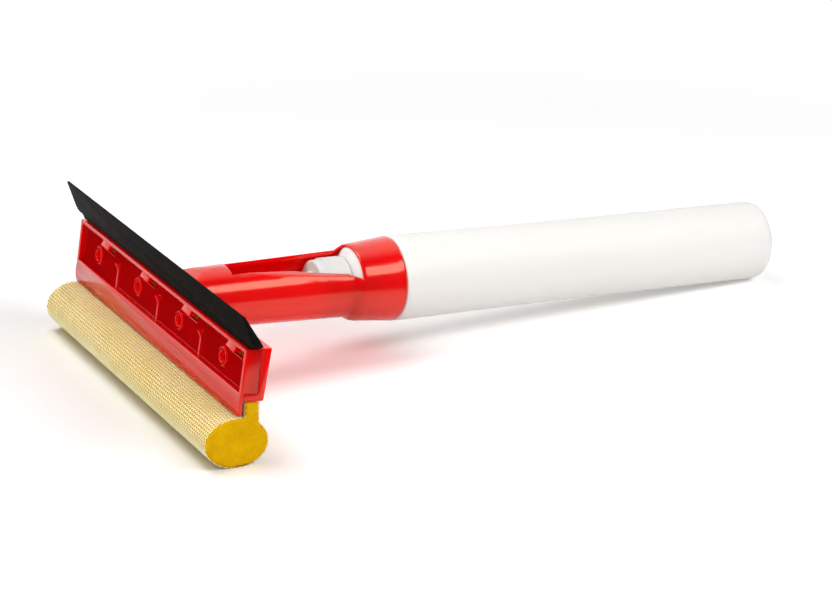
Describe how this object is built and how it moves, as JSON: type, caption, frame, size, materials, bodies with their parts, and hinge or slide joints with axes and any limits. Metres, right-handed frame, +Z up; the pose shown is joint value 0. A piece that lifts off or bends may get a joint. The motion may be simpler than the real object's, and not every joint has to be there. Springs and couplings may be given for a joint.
{
  "type": "window scrubber",
  "caption": "Window scrubber: a wide head with a rubber blade on one edge and a net-covered sponge roll on the other, on a squeezable bottle that is the handle.",
  "frame": {"origin": "middle of the bounding box's bottom: the floor that the tool lies on, half-way along and across it", "axes": "+X along the tool, from the head to the bottle's end; +Y across the head; +Z up, away from the floor. The tool lies on its sponge and on the bottle's end, so the handle's axis falls by 4.2 degrees along +X"},
  "size_m": [0.3626, 0.2136, 0.0745],
  "materials": {
    "red_frame": "glossy moulded red plastic",
    "red_plate": "glossy moulded red plastic",
    "blade_rubber": "near-black satin rubber",
    "yellow_foam": "open golden-yellow foam",
    "net_sleeve": "pale knitted net",
    "milky_bottle": "milky translucent blown plastic",
    "white_cap": "white moulded plastic",
    "seal_disc": "pale foamed sealing disc",
    "spout_plastic": "natural cream moulded plastic"
  },
  "bodies": {
    "head": {"head_frame": "red_frame", "clamp_plate": "red_plate", "rubber_blade": "blade_rubber", "sponge": "yellow_foam", "sponge_net": "net_sleeve"},
    "bottle": {"bottle": "milky_bottle"},
    "seal": {"cap_seal": "seal_disc"},
    "cap": {"cap": "white_cap"},
    "spout": {"spout": "spout_plastic"}
  },
  "joints": [
    {"name": "bottle_pull", "type": "slide", "parent": "head", "child": "bottle", "axis": [0.9974, 0, -0.0726], "range_m": [0, 0.06]},
    {"name": "cap_lift", "type": "slide", "parent": "bottle", "child": "seal", "axis": [-0.9974, 0, 0.0726], "range_m": [0, 0.006]},
    {"name": "cap_turn", "type": "hinge", "parent": "seal", "child": "cap", "pos_m": [-0.07992, 0, 0.03897], "axis": [-0.9974, 0, 0.0726], "range_deg": [0, 720]},
    {"name": "spout_pull", "type": "slide", "parent": "cap", "child": "spout", "axis": [-0.9974, 0, 0.0726], "range_m": [0, 0.003]}
  ],
  "couplings": [
    {"joint": "cap_lift", "follows": "cap_turn", "m_per_rad": 0.000477}
  ]
}
